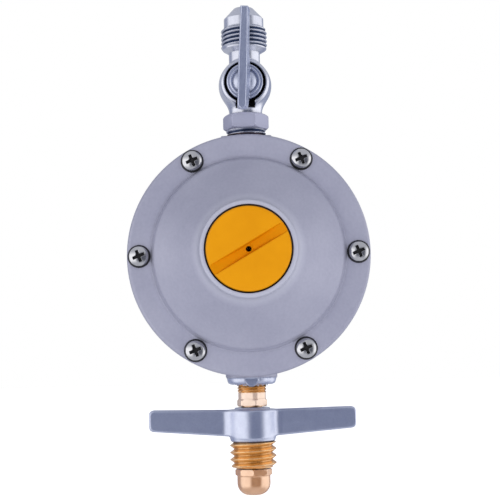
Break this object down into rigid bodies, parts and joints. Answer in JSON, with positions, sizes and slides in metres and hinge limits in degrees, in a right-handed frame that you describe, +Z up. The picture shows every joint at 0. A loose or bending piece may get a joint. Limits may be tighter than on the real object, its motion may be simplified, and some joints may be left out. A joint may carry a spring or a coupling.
{
  "type": "gas regulator",
  "caption": "Low-pressure gas regulator: round diaphragm housing, slotted adjuster cap, lever-operated plug valve with flare outlet, wing-nut nose connector at the inlet.",
  "frame": {"origin": "on the flow axis, half way up the cylindrical wall of the inlet nose", "axes": "+Z up the flow axis from inlet to outlet, +X to the right seen from the front, -Y out of the front through the adjuster cap"},
  "size_m": [0.08, 0.0506, 0.1664],
  "materials": {
    "cast_zinc": "satin grey die-cast",
    "dark_zinc": "satin blue-grey die-cast",
    "plated_valve": "satin nickel plate",
    "bright_steel": "bright zinc plate",
    "plain_steel": "plain steel",
    "golden_brass": "machined brass",
    "pale_brass": "pale machined brass",
    "orange_plastic": "moulded orange-yellow plastic",
    "black_rubber": "black nitrile rubber"
  },
  "bodies": {
    "housing": {"rear_body": "cast_zinc", "front_cover": "cast_zinc", "cover_screws": "bright_steel", "diaphragm": "black_rubber", "main_spring": "plain_steel", "lever_pin": "plain_steel", "inlet_nozzle": "golden_brass", "inlet_nipple": "pale_brass", "nose_tip": "pale_brass", "outlet_valve_body": "plated_valve", "plug_retainer": "plain_steel", "stop_pin": "plain_steel"},
    "wing": {"wing_handle": "dark_zinc", "inlet_screw": "golden_brass"},
    "cap_ring": {"cap_seal": "black_rubber"},
    "cap": {"vent_cap": "orange_plastic"},
    "seat_ring": {"spring_seat": "plain_steel"},
    "adjuster": {"adjusting_screw": "cast_zinc"},
    "diaphragm_centre": {"diaphragm_plate": "plain_steel", "diaphragm_washer": "plain_steel", "diaphragm_post": "pale_brass"},
    "relay": {"relay_lever": "plain_steel"},
    "shutoff": {"poppet": "golden_brass", "seat_pad": "black_rubber"},
    "outlet_lever": {"valve_lever": "dark_zinc", "valve_plug": "golden_brass", "plug_orings": "black_rubber"}
  },
  "joints": [
    {"name": "wing_turn", "type": "hinge", "parent": "housing", "child": "wing", "pos_m": [0, 0, 0.01843], "axis": [0, 0, 1], "continuous": true},
    {"name": "outlet_turn", "type": "hinge", "parent": "housing", "child": "outlet_lever", "pos_m": [0, 0, 0.1346], "axis": [0, -1, 0], "range_deg": [0, 90]},
    {"name": "cap_lift", "type": "slide", "parent": "housing", "child": "cap_ring", "axis": [0, -1, 0], "range_m": [0, 0.0045]},
    {"name": "cap_turn", "type": "hinge", "parent": "cap_ring", "child": "cap", "pos_m": [0, 0, 0.0748], "axis": [0, -1, 0], "range_deg": [-1, 1081]},
    {"name": "adjuster_travel", "type": "slide", "parent": "housing", "child": "seat_ring", "axis": [0, -1, 0], "range_m": [-0.002, 0.001]},
    {"name": "adjuster_turn", "type": "hinge", "parent": "seat_ring", "child": "adjuster", "pos_m": [0, 0, 0.0748], "axis": [0, -1, 0], "range_deg": [-481, 241]},
    {"name": "diaphragm_stroke", "type": "slide", "parent": "housing", "child": "diaphragm_centre", "axis": [0, -1, 0], "range_m": [0, 0.003], "stiffness_N_per_m": 1200, "deforming": ["diaphragm", "main_spring"]},
    {"name": "relay_rock", "type": "hinge", "parent": "housing", "child": "relay", "pos_m": [0, 0.005, 0.0568], "axis": [1, 0, 0], "range_deg": [-0.1, 9.6]},
    {"name": "shutoff_stroke", "type": "slide", "parent": "housing", "child": "shutoff", "axis": [0, 0, -1], "range_m": [0, 0.00084]}
  ],
  "couplings": [
    {"joint": "cap_turn", "follows": "cap_lift", "rad_per_m": 4188.8},
    {"joint": "adjuster_turn", "follows": "adjuster_travel", "rad_per_m": 4188.8},
    {"joint": "relay_rock", "follows": "diaphragm_stroke", "rad_per_m": 55.556},
    {"joint": "shutoff_stroke", "follows": "diaphragm_stroke", "ratio": 0.27778}
  ]
}
